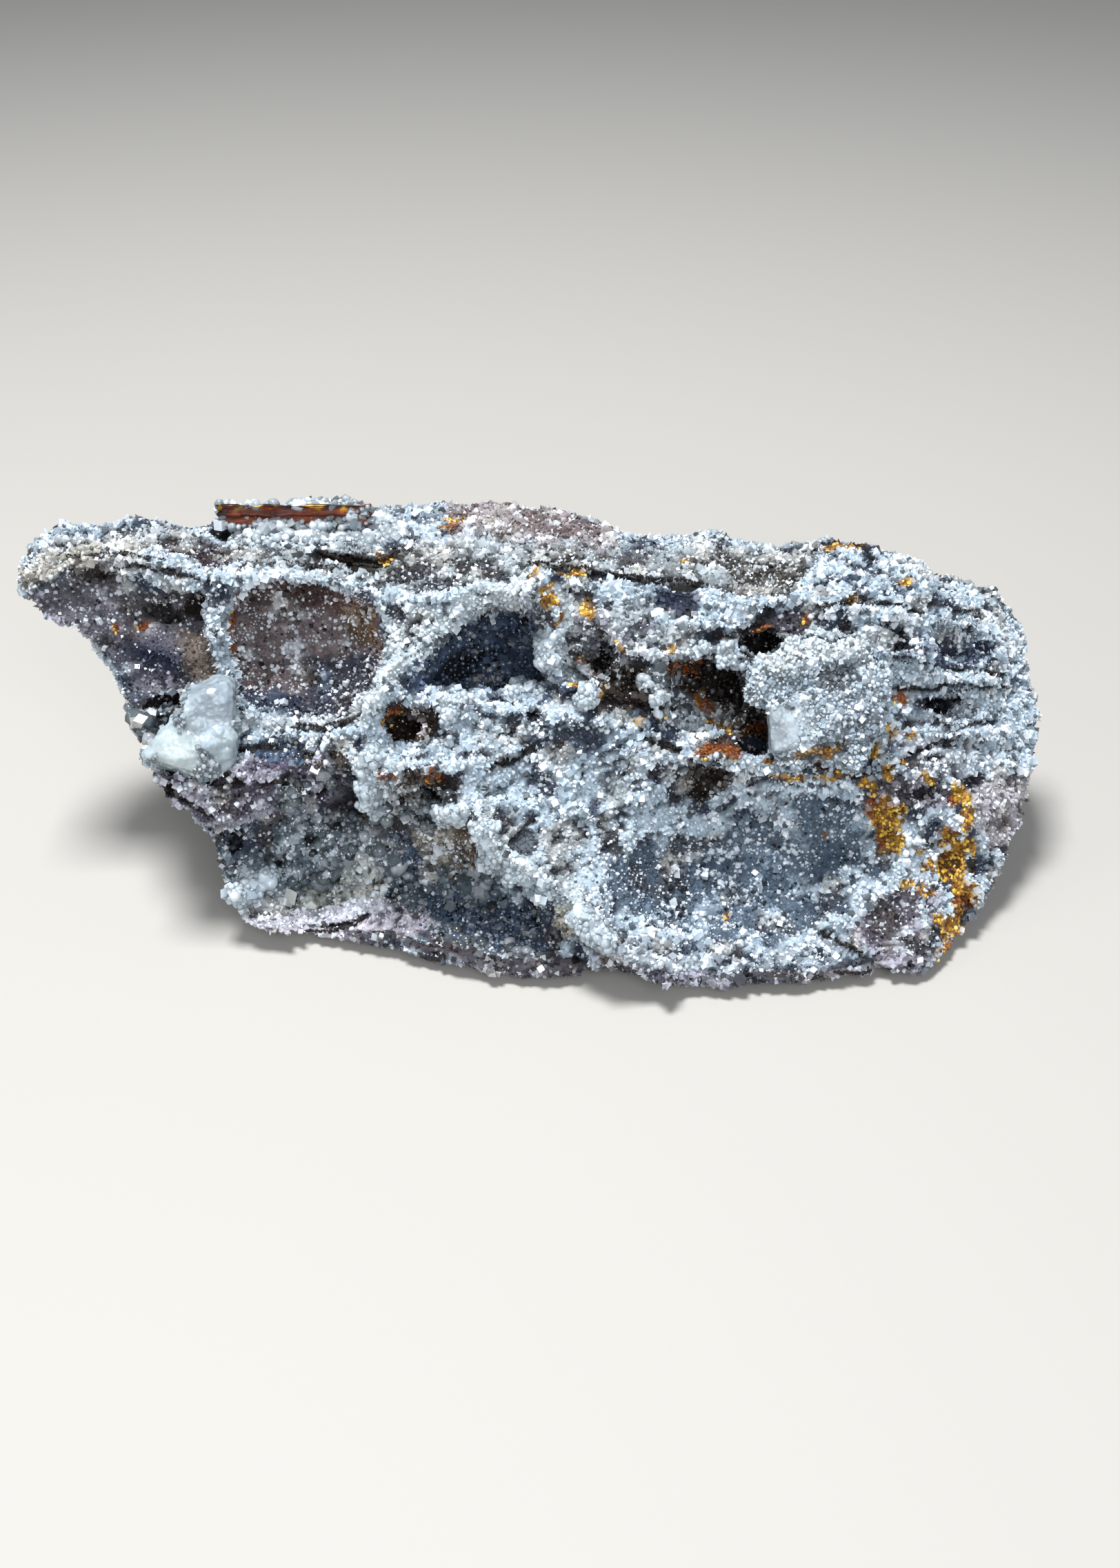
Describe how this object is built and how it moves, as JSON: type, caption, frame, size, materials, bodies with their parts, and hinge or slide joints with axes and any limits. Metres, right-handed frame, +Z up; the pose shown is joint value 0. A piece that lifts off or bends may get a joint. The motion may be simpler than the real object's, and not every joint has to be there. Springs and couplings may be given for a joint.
{
  "type": "drusy calcite mineral specimen",
  "caption": "Rough block of layered, cave-pitted rock grown over with sugary calcite crystals, with milky crystal clusters and an iron oxide plate; rests on its worn base.",
  "frame": {"origin": "under the middle of the specimen, on the surface it rests on", "axes": "+X along the block to the right of its display face, -Y towards the viewer of that face, +Z up"},
  "size_m": [0.1109, 0.0559, 0.0376],
  "materials": {
    "druse": "sugary crust of small glassy crystals, bluish white on the crests and blue grey in the hollows",
    "druse_crystals": "clear to milky small calcite crystals with flat glassy faces",
    "milky_calcite": "milky translucent calcite, waxy to glassy",
    "iron_oxide": "dull red-brown layered iron oxide with dark edges",
    "limonite": "earthy yellow-orange limonite, waxy in places"
  },
  "bodies": {
    "root": {"rock": "druse", "milky_crystal_left": "milky_calcite", "milky_crystals_right": "milky_calcite", "iron_oxide_plate": "iron_oxide"}
  },
  "joints": []
}
